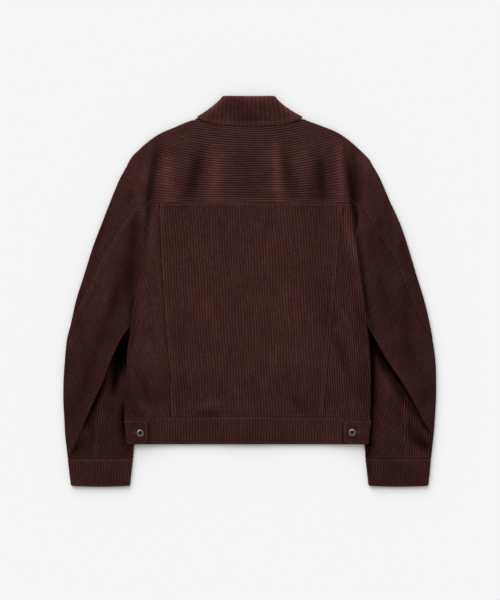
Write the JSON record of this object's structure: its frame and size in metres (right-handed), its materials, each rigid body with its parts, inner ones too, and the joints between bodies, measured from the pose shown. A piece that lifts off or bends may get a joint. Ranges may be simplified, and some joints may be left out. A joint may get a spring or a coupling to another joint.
{
  "type": "corduroy trucker jacket laid flat, back up",
  "caption": "Short corduroy jacket laid flat with its back up: yoke, panelled back, folded collar, sleeves along the body, cuffs and a waistband with buttoned side tabs.",
  "frame": {"origin": "middle of the laid jacket, on the surface that it lies on", "axes": "+Z away from the surface, +Y up the back towards the collar, +X to the right with the back seen"},
  "size_m": [0.7077, 0.7416, 0.0176],
  "materials": {
    "corduroy": "dark burgundy-brown cotton corduroy, cut pile, matt with a soft sheen",
    "gunmetal": "dark plated metal"
  },
  "bodies": {
    "root": {"back_yoke": "corduroy", "back_center": "corduroy", "back_side_left": "corduroy", "back_side_right": "corduroy", "front_left": "corduroy", "front_right": "corduroy", "sleeve_outer_left": "corduroy", "sleeve_outer_right": "corduroy", "sleeve_under_left": "corduroy", "sleeve_under_right": "corduroy", "cuff_left": "corduroy", "cuff_right": "corduroy", "waistband": "corduroy", "tab_left": "corduroy", "tab_right": "corduroy", "collar": "corduroy", "tab_button_left": "gunmetal", "tab_button_right": "gunmetal"}
  },
  "joints": []
}
